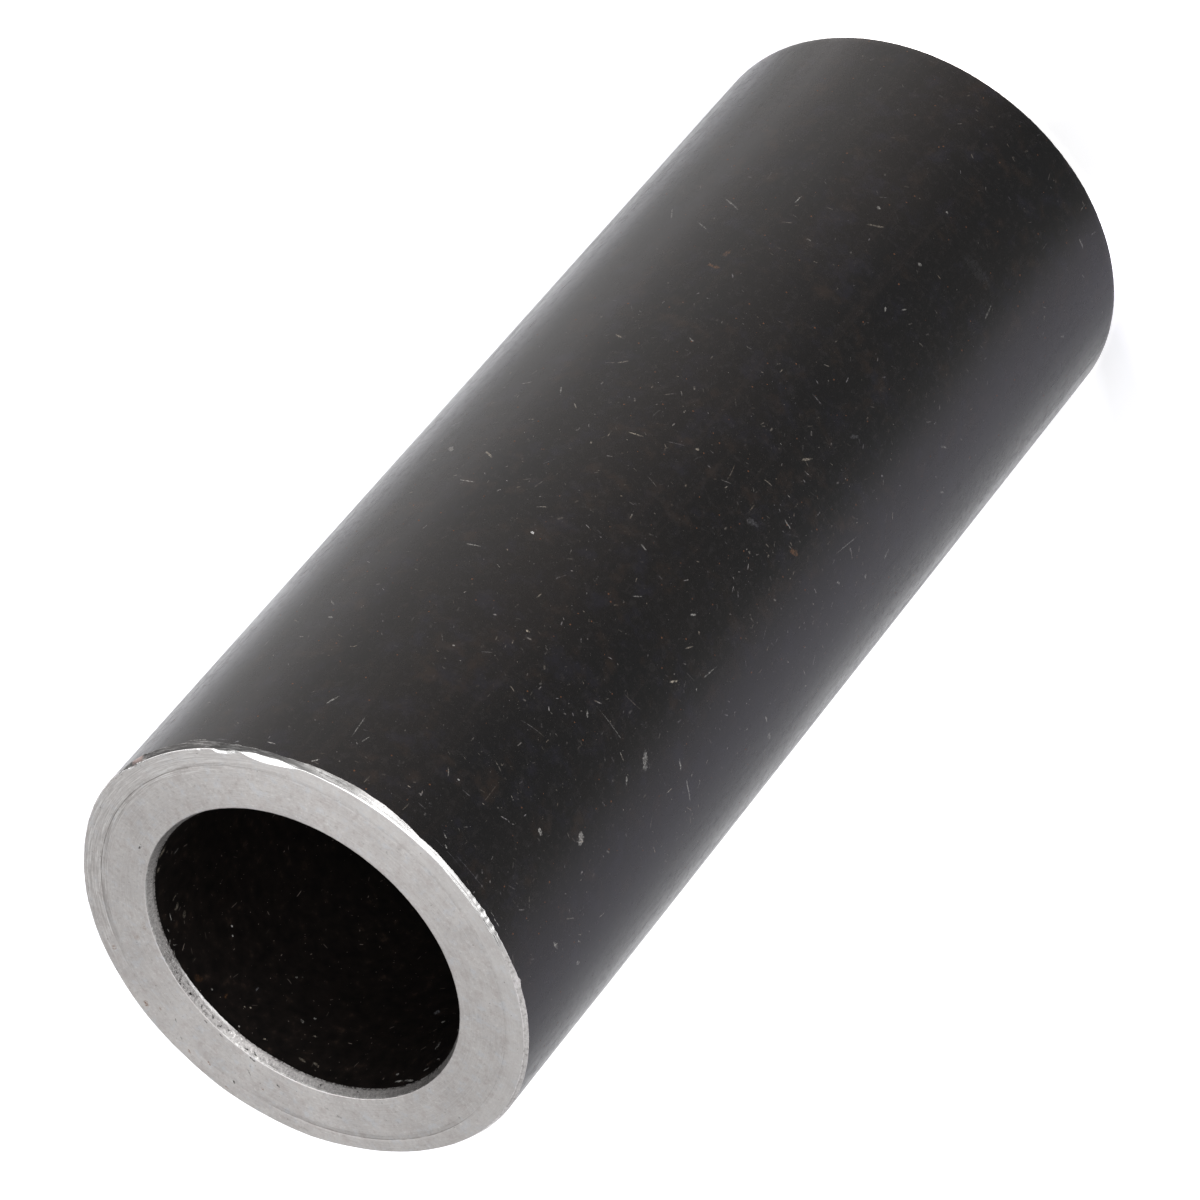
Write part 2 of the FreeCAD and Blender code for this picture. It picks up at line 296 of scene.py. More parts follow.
# on the skin: angle round the axis, height, direction in degrees, length, width (mm), strength, colour
skin_marks = (
    (-67.0, 125.3, 95, 3.4, 0.12, 0.45, PALE), (-57.7, 123.3, 70, 1.9, 0.20, 0.65, PALE), (-70.2, 126.4, 75, 1.2, 0.12, 0.4, PALE),
    (-91.7, 124.0, 0, 0.28, 0.24, 1.0, BRIGHT), (-122.2, 116.5, -45, 1.5, 0.85, 0.75, PALE), (-122.6, 103.4, -42, 2.3, 0.75, 0.60, PALE),
    (-122.0, 107.0, -45, 1.1, 0.28, 0.6, PALE), (-123.9, 105.0, -45, 1.0, 0.16, 0.5, PALE), (-104.3, 106.3, -50, 0.9, 0.24, 0.6, PALE),
    (-111.5, 104.7, 0, 6.6, 0.13, 0.32, PALE), (-127.0, 102.0, 0, 5.0, 0.16, 0.26, GREY), (-107.0, 103.2, 0, 4.2, 0.7, 0.16, GREY),
    (-138.5, 98.7, -3, 2.9, 0.24, 0.6, PALE), (-131.0, 98.8, -20, 1.3, 0.32, 0.65, PALE), (-121.0, 89.3, 82, 3.0, 0.15, 0.5, PALE),
    (-120.6, 91.8, -35, 1.1, 0.22, 0.6, PALE), (-115.3, 94.2, 60, 1.5, 0.26, 0.95, WARM), (-112.9, 89.8, 65, 1.4, 0.18, 0.5, WARM),
    (-96.0, 90.7, 50, 1.2, 0.15, 0.6, PALE), (-68.2, 91.7, 0, 0.40, 0.36, 1.0, BRIGHT), (-82.3, 103.5, 20, 0.45, 0.3, 0.9, WARM),
    (-80.4, 103.4, 60, 0.5, 0.24, 0.7, PALE), (-59.0, 96.4, 10, 1.7, 0.18, 0.65, PALE), (-45.2, 87.0, -3, 2.0, 0.18, 0.7, PALE),
    (-45.0, 86.3, -8, 3.4, 0.30, 0.35, RUST), (-44.8, 82.2, -35, 1.7, 0.30, 0.6, WARM), (-32.5, 81.2, -40, 1.3, 0.6, 0.5, PALE),
    (-26.0, 75.8, 25, 2.2, 0.5, 0.35, GREY), (-71.7, 72.8, 15, 1.7, 0.2, 0.85, WARM), (-67.8, 70.0, 88, 1.8, 0.13, 0.4, PALE),
    (-48.5, 70.0, -65, 1.2, 0.2, 0.6, PALE), (-84.9, 70.0, 40, 0.5, 0.34, 0.95, WARM), (-118.2, 69.6, 35, 1.5, 0.8, 0.55, RUST),
    (-112.5, 68.2, 0, 1.3, 0.24, 0.6, PALE), (-105.6, 72.1, 20, 1.9, 0.8, 0.25, GREY), (-146.5, 122.6, 30, 0.8, 0.5, 0.5, PALE),
    (-136.0, 125.7, 20, 1.2, 0.35, 0.5, PALE), (-144.5, 82.7, 20, 0.9, 0.28, 0.7, PALE), (-150.5, 82.2, 15, 1.4, 0.5, 0.4, PALE),
    (-113.3, 120.7, -30, 0.9, 0.5, 0.75, PALE), (-41.0, 111.3, -10, 0.7, 0.26, 0.8, PALE), (-38.0, 108.8, -40, 1.3, 0.18, 0.45, PALE),
    (-71.5, 110.2, 0, 0.28, 0.24, 0.9, PALE), (-108.6, 86.7, 60, 0.8, 0.24, 0.9, PALE), (-90.0, 85.2, -10, 1.0, 0.22, 0.5, PALE),
    (-57.0, 63.5, 40, 1.5, 0.2, 0.4, WARM), (-51.0, 59.6, -20, 1.1, 0.36, 0.45, WARM), (-66.8, 56.8, -30, 0.9, 0.26, 0.85, PALE),
    (-106.0, 60.3, 60, 1.7, 0.3, 0.6, WARM), (-140.0, 60.0, 0, 0.6, 0.5, 0.6, PALE), (-128.5, 61.7, 80, 5.0, 0.13, 0.38, PALE),
    (-141.0, 55.3, -65, 1.3, 0.36, 0.45, PALE), (-111.5, 52.7, 60, 1.5, 0.5, 0.28, GREY), (-58.4, 44.9, 0, 1.7, 0.6, 0.55, RUST),
    (-58.8, 42.9, 85, 2.6, 0.7, 0.42, RUST), (-97.5, 37.0, -60, 0.7, 0.24, 0.8, PALE), (-101.0, 35.0, 60, 0.8, 0.2, 0.55, PALE),
    (-97.0, 28.6, 0, 0.6, 0.4, 0.6, PALE), (-83.0, 28.4, 35, 2.3, 0.26, 0.55, WARM), (-80.8, 25.9, 0, 0.5, 0.4, 0.75, PALE),
    (-64.0, 30.4, 85, 1.6, 0.18, 0.7, PALE), (-50.2, 34.0, -33, 3.3, 0.2, 0.6, PALE), (-47.8, 38.6, -33, 2.3, 0.18, 0.4, PALE),
    (-36.5, 36.5, -62, 2.5, 0.2, 0.4, PALE), (-118.0, 24.6, -75, 2.6, 0.28, 0.32, PALE), (-108.5, 22.4, 10, 5.2, 1.8, 0.07, GREY),
    (-94.0, 20.0, 0, 0.34, 0.30, 0.8, PALE), (-141.7, 13.2, 50, 1.1, 0.28, 0.55, PALE), (-126.4, 5.1, 0, 1.4, 0.26, 0.6, PALE),
    (-134.0, 65.0, 45, 0.7, 0.28, 0.6, PALE), (-143.0, 42.5, 50, 1.0, 0.28, 0.55, PALE), (-133.0, 40.5, 50, 1.3, 0.28, 0.4, PALE),
    (-119.0, 132.0, 2, 1.2, 0.10, 0.85, PALE), (-117.0, 131.9, 4, 0.9, 0.08, 0.6, PALE), (-107.0, 131.0, 1, 5.0, 0.07, 0.35, GREY),
    (-100.0, 131.5, -1, 4.0, 0.06, 0.30, GREY), (-98.9, 131.2, -30, 0.5, 0.22, 0.9, PALE), (-97.2, 130.3, -20, 0.7, 0.18, 0.7, PALE),
    (-76.3, 130.8, 88, 1.3, 0.10, 0.45, WARM), (-86.7, 130.8, 86, 1.3, 0.09, 0.35, WARM),
    (-53.0, 131.34, -2, 1.1, 0.17, 0.95, PALE), (-64.5, 131.63, 50, 1.0, 0.20, 0.95, PALE), (-34.0, 132.05, 1, 2.6, 0.15, 0.85, PALE),
    (-45.0, 132.1, 40, 0.8, 0.3, 0.55, GREY), (-40.5, 131.95, 0, 2.2, 0.10, 0.45, GREY),
)
# on the end face: radius, angle, direction from the radius in degrees, length, width, strength, colour
face_marks = (
    (19.35, 10.0, 60, 0.75, 0.32, 0.85, DARK), (23.05, 97.6, 30, 0.60, 0.30, 0.9, DARK), (23.98, 68.4, 80, 0.85, 0.60, 0.85, RUST),
    # the long thin BRIGHT arcs along the rings at -66.3, -59.5 and -40 degrees are painted highlights
    (24.52, -34.2, 70, 0.35, 0.16, 0.6, DARK), (24.0, -66.3, 90, 2.2, 0.07, 0.75, BRIGHT), (22.85, -59.5, 90, 3.2, 0.06, 0.6, BRIGHT),
    (22.1, -40.0, 90, 5.0, 0.05, 0.35, BRIGHT), (19.6, -74.2, 40, 0.6, 0.4, 0.20, DARK), (19.8, -83.0, 40, 0.5, 0.3, 0.22, DARK),
    (20.9, -90.0, 50, 0.5, 0.3, 0.25, DARK), (20.8, 129.0, 75, 1.5, 0.35, 0.30, DARK), (20.2, 126.0, 60, 0.7, 0.3, 0.4, DARK),
    (24.2, 118.0, 90, 1.4, 0.4, 0.22, DARK), (20.39, 100.1, 45, 1.0, 0.14, 0.7, DARK), (21.45, 105.3, 60, 0.5, 0.36, 0.55, RUST),
    (21.98, 75.8, 60, 0.7, 0.18, 0.55, DARK), (23.91, 84.2, 70, 0.6, 0.26, 0.55, RUST), (23.17, 89.8, 60, 0.7, 0.34, 0.6, RUST),
    (18.45, 80.5, 90, 0.5, 0.24, 0.6, DARK), (18.30, 99.5, 80, 0.9, 0.26, 0.9, DARK), (18.38, 87.0, 90, 0.6, 0.24, 0.6, DARK),
    (22.27, 57.5, 0, 0.24, 0.24, 1.0, BRIGHT), (18.15, 83.1, 0, 0.26, 0.26, 1.0, BRIGHT), (19.80, 109.7, 60, 0.5, 0.30, 0.75, DARK),
    (24.50, 96.6, 80, 0.5, 0.26, 0.6, RUST), (23.27, 80.4, 60, 0.5, 0.24, 0.45, DARK), (22.73, 71.0, 60, 0.5, 0.3, 0.35, RUST),
    (18.82, 42.6, 80, 1.3, 0.7, 0.28, RUST), (20.18, 47.3, 30, 1.0, 0.8, 0.24, RUST), (23.80, 51.2, 60, 0.8, 0.5, 0.42, RUST),
)
# in the bore and on its chamfer: angle, height, direction, length, width, strength, colour
bore_marks = (
    (22.2, 127.9, 80, 1.0, 0.24, 0.45, PALE), (16.0, 130.0, 0, 0.6, 0.4, 0.4, WARM), (45.4, 131.1, -22, 2.0, 0.16, 0.6, PALE),
    (43.7, 129.0, 60, 1.2, 0.5, 0.25, WARM), (65.5, 123.4, 0, 0.29, 0.26, 1.0, BRIGHT), (68.0, 124.0, 0, 0.26, 0.22, 0.9, BRIGHT),
    (48.5, 128.3, 40, 1.0, 0.5, 0.2, WARM), (21.4, 131.3, 0, 0.8, 0.5, 0.35, WARM), (12.5, 131.3, 30, 1.8, 0.7, 0.45, WARM),
    (57.3, 132.1, 32, 1.8, 0.16, 0.7, PALE), (53.5, 131.4, -60, 1.2, 0.14, 0.5, PALE), (144.3, 119.4, 0, 0.8, 0.7, 0.4, GREY),
    (150.7, 121.1, 0, 0.45, 0.4, 0.7, PALE), (158.4, 125.6, 85, 1.4, 0.34, 0.6, PALE), (164.6, 123.8, 40, 1.2, 0.34, 0.6, PALE),
    (170.4, 127.8, 60, 3.6, 1.5, 0.40, WARM), (163.9, 130.0, 0, 0.8, 0.4, 0.6, PALE), (158.4, 131.2, 20, 1.9, 0.36, 0.6, PALE),
    (152.6, 130.9, 0, 1.2, 0.32, 0.8, PALE), (167.0, 128.8, 20, 0.7, 0.3, 0.5, PALE), (149.0, 129.6, 30, 0.6, 0.3, 0.5, PALE),
    (64.1, 130.0, 30, 1.1, 0.9, 0.07, WARM), (68.5, 130.9, -40, 1.4, 0.9, 0.12, RUST), (78.9, 128.5, 75, 1.7, 0.30, 0.18, WARM),
    (79.6, 129.6, 80, 0.8, 0.35, 0.25, RUST), (74.6, 130.4, 0, 0.26, 0.24, 0.8, PALE), (86.6, 126.3, 60, 0.8, 0.5, 0.45, GREY),
    (86.8, 129.0, 0, 0.24, 0.22, 0.8, WARM), (88.3, 128.6, 0, 0.26, 0.22, 0.8, WARM), (93.6, 121.9, 0, 0.28, 0.24, 0.8, PALE),
    (89.5, 131.3, 0, 0.26, 0.22, 0.9, PALE), (98.6, 130.6, 0, 0.26, 0.22, 0.9, WARM), (104.5, 126.1, 20, 0.6, 0.34, 0.55, PALE),
    (107.3, 125.0, 0, 0.34, 0.28, 0.9, PALE), (106.1, 127.6, -15, 1.5, 0.26, 0.55, WARM), (110.4, 127.1, -20, 1.3, 0.22, 0.45, WARM),
    (115.0, 127.0, 0, 0.6, 0.4, 0.40, PALE), (113.2, 130.5, 15, 1.1, 0.3, 0.28, WARM), (118.0, 130.3, 20, 1.0, 0.3, 0.28, WARM),
    (39.9, 128.9, 70, 1.0, 0.22, 0.28, WARM), (44.6, 130.3, 5, 1.0, 0.14, 0.75, PALE), (47.0, 131.3, -10, 1.2, 0.12, 0.7, PALE),
    (51.5, 131.7, 40, 0.7, 0.16, 0.6, PALE), (95.1, 121.4, 0, 0.2, 0.18, 0.5, PALE),
    (70.6, 132.62, -20, 1.0, 0.28, 1.0, DARK), (72.4, 132.45, 60, 0.5, 0.18, 0.9, DARK), (64.8, 132.75, 30, 0.9, 0.22, 0.9, DARK),
    (61.5, 132.6, -30, 0.9, 0.20, 0.8, DARK), (66.7, 132.2, 15, 0.8, 0.20, 0.7, DARK), (76.0, 132.6, 40, 0.6, 0.22, 0.9, DARK),
    (78.3, 132.75, -10, 0.8, 0.28, 1.0, DARK), (81.0, 132.5, 30, 0.6, 0.22, 0.8, DARK), (84.6, 132.65, -30, 0.6, 0.24, 0.9, DARK),
    (88.0, 132.4, 10, 0.5, 0.22, 0.8, DARK), (96.5, 132.7, 0, 0.9, 0.22, 1.0, DARK), (99.3, 132.6, 30, 0.6, 0.20, 0.9, DARK),
    (57.0, 132.55, 62, 1.1, 0.16, 0.9, DARK), (57.9, 132.35, 62, 1.0, 0.10, 1.0, BRIGHT),
)
mark = np.full((n_rings, N_ROUND, 4, 3), 9.0)
mark[..., 2] = 0.0
mark_rgb = np.zeros((n_rings, N_ROUND, 4, 3))
grid = verts.reshape(n_rings, N_ROUND, 3) / MM
nxt = (np.arange(n_rings) + 1) % n_rings
corner_co = np.stack([grid, grid[nxt], grid[nxt][:, k1], grid[:, k1]], 2)


def put_mark(cu, cv, u0, v0, direction, length, width, strength, colour, where):
    t = math.radians(direction)
    a = ((cu - u0) * math.cos(t) + (cv - v0) * math.sin(t)) / (length / 2)
    b = ((cv - v0) * math.cos(t) - (cu - u0) * math.sin(t)) / (width / 2)
    # a face carries the mark when the mark's box comes near it
    near = where & (a.min(-1) < 1.15) & (a.max(-1) > -1.15) & (b.min(-1) < 1.3) & (b.max(-1) > -1.3) & (strength > mark[..., 2].max(-1))
    mark[near, :, 0] = a[near]
    mark[near, :, 1] = b[near]
    mark[near, :, 2] = strength
    mark_rgb[near] = colour


ring_part = np.array([p for _, _, p in rings])
high = corner_co[..., 2].min(-1) > LENGTH / 2
for angle, z, direction, length, width, strength, colour in skin_marks:
    # the marks grow fainter towards the lower end
    put_mark(u[..., 0], u[..., 1], math.radians(angle + 180) * R_OUT, z, direction, length, width, strength * min(1.0, 0.66 + z / 290), colour,
             np.broadcast_to((ring_part == SKIN)[:, None], high.shape))
for radius, angle, direction, length, width, strength, colour in face_marks:
    t = math.radians(angle)
    put_mark(corner_co[..., 0], corner_co[..., 1], radius * math.cos(t), radius * math.sin(t), angle + direction, length, width,
             strength, colour, (ring_part == FACE)[:, None] & high)
for angle, z, direction, length, width, strength, colour in bore_marks:
    put_mark(u[..., 0] * R_IN / R_OUT, u[..., 1], math.radians(angle + 180) * R_IN, z, direction, length, width, strength, colour,
             np.broadcast_to(((ring_part == BORE) | (ring_part == MOUTH))[:, None], high.shape))
for name, values in (("mark", mark), ("mark_rgb", mark_rgb)):
    layer = mesh.attributes.new(name, "FLOAT_VECTOR", "CORNER")
    layer.data.foreach_set("vector", values.astype(np.float32).ravel())

# smooth everywhere but where two turned surfaces meet
mesh.polygons.foreach_set("use_smooth", np.ones(len(faces), bool))
edge_verts = np.empty(len(mesh.edges) * 2, np.int32)
mesh.edges.foreach_get("vertices", edge_verts)
edge_ring = edge_verts.reshape(-1, 2) // N_ROUND
part_of = np.array([p for _, _, p in rings])
corner = part_of != np.roll(part_of, 1)
corner[facet_ring] = True
sharp = (edge_ring[:, 0] == edge_ring[:, 1]) & corner[edge_ring[:, 0]]
mesh.edges.foreach_set("use_edge_sharp", sharp)
mesh.update()
mesh.validate()


# ---------------------------------------------------------------------------
# Node helpers
# ---------------------------------------------------------------------------
class Nodes:
    def __init__(self, name):
        self.mat = bpy.data.materials.new(name)
        self.mat.use_nodes = True
        self.t = self.mat.node_tree
        self.t.nodes.clear()
        self.out = self.add("ShaderNodeOutputMaterial")
        self.bsdf = self.add("ShaderNodeBsdfPrincipled")
        self.t.links.new(self.bsdf.outputs[0], self.out.inputs[0])

    def add(self, kind, **props):
        n = self.t.nodes.new(kind)
        for p, v in props.items():
            setattr(n, p, v)
        return n

    def put(self, socket, value):
        if isinstance(value, bpy.types.NodeSocket):
            self.t.links.new(value, socket)
        elif value is not None:
            socket.default_value = value

    def math(self, op, a, b=None, c=None, clamp=False):
        n = self.add("ShaderNodeMath", operation=op, use_clamp=clamp)
        for s, v in zip(n.inputs, (a, b, c)):
            self.put(s, v)
        return n.outputs[0]

    def vmath(self, op, a, b=None, scale=None):
        n = self.add("ShaderNodeVectorMath", operation=op)
        self.put(n.inputs[0], a)
        if b is not None:
            self.put(n.inputs[1], b)
        if scale is not None:
            self.put(n.inputs["Scale"], scale)
        return n.outputs["Value"] if op in ("LENGTH", "DOT_PRODUCT", "DISTANCE") else n.outputs[0]

    def sep(self, v):
        n = self.add("ShaderNodeSeparateXYZ")
        self.put(n.inputs[0], v)
        return n.outputs[0], n.outputs[1], n.outputs[2]

    def comb(self, x=0.0, y=0.0, z=0.0):
        n = self.add("ShaderNodeCombineXYZ")
        for s, v in zip(n.inputs, (x, y, z)):
            self.put(s, v)
        return n.outputs[0]

    def noise(self, vec, scale, detail=3.0, rough=0.5, distort=0.0, dims="3D", lac=2.0):
        n = self.add("ShaderNodeTexNoise", noise_dimensions=dims)
        self.put(n.inputs["Vector"], vec)
        for s, v in (("Scale", scale), ("Detail", detail), ("Roughness", rough), ("Distortion", distort), ("Lacunarity", lac)):
            self.put(n.inputs[s], v)
        return n.outputs[0]

    def voronoi(self, vec, scale=1.0, dims="2D", feature="F1", randomness=1.0):
        n = self.add("ShaderNodeTexVoronoi", voronoi_dimensions=dims, feature=feature)
        self.put(n.inputs["Vector"], vec)
        self.put(n.inputs["Scale"], scale)
        self.put(n.inputs["Randomness"], randomness)
        return n

    def white(self, vec, dims="3D"):
        n = self.add("ShaderNodeTexWhiteNoise", noise_dimensions=dims)
        self.put(n.inputs["Vector"], vec)
        return n.outputs["Value"], n.outputs["Color"]

    def range(self, v, a, b, lo=0.0, hi=1.0, smooth=True):
        n = self.add("ShaderNodeMapRange", interpolation_type="SMOOTHSTEP" if smooth else "LINEAR")
        for s, x in zip(n.inputs[:5], (v, a, b, lo, hi)):
            self.put(s, x)
        return n.outputs[0]

    def mix(self, f, a, b):
        n = self.add("ShaderNodeMix", data_type="RGBA")
        self.put(n.inputs[0], f)
        self.put(n.inputs[6], a)
        self.put(n.inputs[7], b)
        return n.outputs[2]

    def mixf(self, f, a, b):
        n = self.add("ShaderNodeMix", data_type="FLOAT")
        self.put(n.inputs[0], f)
        self.put(n.inputs[2], a)
        self.put(n.inputs[3], b)
        return n.outputs[0]

    def ramp(self, f, *stops):
        n = self.add("ShaderNodeValToRGB")
        r = n.color_ramp
        while len(r.elements) > 1:
            r.elements.remove(r.elements[-1])
        r.elements[0].position, r.elements[0].color = stops[0][0], (*stops[0][1], 1)
        for p, c in stops[1:]:
            r.elements.new(p).color = (*c, 1)
        self.put(n.inputs[0], f)
        return n.outputs[0]

    def bump(self, height, strength, distance, normal=None):
        n = self.add("ShaderNodeBump")
        self.put(n.inputs["Height"], height)
        self.put(n.inputs["Strength"], strength)
        self.put(n.inputs["Distance"], distance)
        if normal is not None:
            self.put(n.inputs["Normal"], normal)
        return n.outputs[0]

    def set(self, **values):
        for name, v in values.items():
            self.put(self.bsdf.inputs[name.replace("_", " ")], v)


def grey(v, warm=0.0):
    return (v * (1 + warm), v, v * (1 - warm), 1)


# dashes: short straight or bent marks, one to a cell, in wrapped millimetre coordinates
def dash_group():
    g = bpy.data.node_groups.new("dashes", "ShaderNodeTree")
    face = g.interface
    for name, kind, default in (
        ("Vector", "NodeSocketVector", None), ("Cell", "NodeSocketFloat", 4.0), ("Share", "NodeSocketFloat", 0.4),
        ("Length lo", "NodeSocketFloat", 0.2), ("Length hi", "NodeSocketFloat", 0.8), ("Half width", "NodeSocketFloat", 0.04),
        ("Bend", "NodeSocketFloat", 0.3), ("Shift", "NodeSocketFloat", 0.0),
    ):
        s = face.new_socket(name, in_out="INPUT", socket_type=kind)
        if default is not None:
            s.default_value = default
    face.new_socket("Mask", in_out="OUTPUT", socket_type="NodeSocketFloat")
    face.new_socket("Tone", in_out="OUTPUT", socket_type="NodeSocketFloat")
    h = object.__new__(Nodes)
    h.t = g
    gin, gout = h.add("NodeGroupInput"), h.add("NodeGroupOutput")
    i = gin.outputs
    v = h.vmath("DIVIDE", i["Vector"], h.comb(i["Cell"], i["Cell"], 1.0))
    v = h.vmath("ADD", v, h.comb(i["Shift"], i["Shift"], 0.0))
    vor = h.voronoi(v)
    d = h.vmath("SUBTRACT", v, vor.outputs["Position"])
    dx, dy, _ = h.sep(d)
    dx, dy = h.math("MULTIPLY", dx, i["Cell"]), h.math("MULTIPLY", dy, i["Cell"])
    r1, _ = h.white(vor.outputs["Position"])
    _, col = h.white(h.vmath("ADD", vor.outputs["Position"], (7.3, 2.9, 5.1)))
    r2, r3, r4 = h.sep(col)
    r1_again, _ = h.white(h.vmath("ADD", vor.outputs["Position"], (1.7, 8.3, 4.4)))
    ang = h.math("MULTIPLY", r2, 2 * math.pi)
    ca, sa = h.math("COSINE", ang), h.math("SINE", ang)
    a = h.math("ADD", h.math("MULTIPLY", dx, ca), h.math("MULTIPLY", dy, sa))
    b = h.math("SUBTRACT", h.math("MULTIPLY", dy, ca), h.math("MULTIPLY", dx, sa))
    bend = h.math("MULTIPLY", h.math("SUBTRACT", r4, 0.5), i["Bend"])
    b = h.math("ADD", b, h.math("MULTIPLY", bend, h.math("MULTIPLY", a, a)))
    half = h.mixf(h.math("POWER", r3, 2.0), h.math("MULTIPLY", i["Length lo"], 0.5), h.math("MULTIPLY", i["Length hi"], 0.5))
    along = h.range(h.math("ABSOLUTE", a), half, h.math("MULTIPLY", half, 0.45))
    across = h.range(h.math("ABSOLUTE", b), i["Half width"], 0.0)
    there = h.math("LESS_THAN", r1, i["Share"])
    m = h.math("MULTIPLY", h.math("MULTIPLY", along, across), there)
    h.put(gout.inputs["Mask"], m)
    h.put(gout.inputs["Tone"], h.math("MULTIPLY_ADD", h.math("POWER", r1_again, 2.2), 0.85, 0.15))
    return g


DASHES = dash_group()


def dashes(m, vec, cell, share, lo, hi, half, bend=0.3, shift=0.0):
    n = m.add("ShaderNodeGroup", node_tree=DASHES)
    for s, v in zip(n.inputs, (vec, cell, share, lo, hi, half, bend, shift)):
        m.put(s, v)
    return n.outputs["Mask"], n.outputs["Tone"]


# ---------------------------------------------------------------------------
# Materials
# ---------------------------------------------------------------------------
def mark_nodes(m, col, rough, amount=1.0):
    """Draws the listed marks over a colour, and makes them dull."""
    xyz = m.add("ShaderNodeAttribute", attribute_name="mark").outputs["Vector"]
    rgb = m.add("ShaderNodeAttribute", attribute_name="mark_rgb").outputs["Vector"]
    a, b, strength = m.sep(xyz)
    obj = m.vmath("SCALE", m.add("ShaderNodeTexCoord").outputs["Object"], scale=1000.0)
    rag = m.noise(obj, 2.4, 3.0, 0.75)
    wob = m.math("SUBTRACT", rag, 0.5)
    b = m.math("MULTIPLY_ADD", wob, 2.6, b)
    a = m.math("MULTIPLY_ADD", wob, -0.9, a)
    edge = m.math("ADD", m.math("POWER", m.math("ABSOLUTE", a), 2.5), m.math("POWER", m.math("ABSOLUTE", b), 2.0))
    f = m.range(edge, 1.0, 0.25)
    f = m.math("MULTIPLY", f, m.range(m.noise(obj, 5.5, 2.0, 0.7), 0.40, 0.60, 0.15, 1.0))
    f = m.math("MULTIPLY", m.math("MULTIPLY", f, strength), amount)
    return m.mix(f, col, rgb), m.mixf(f, rough, 0.8), f


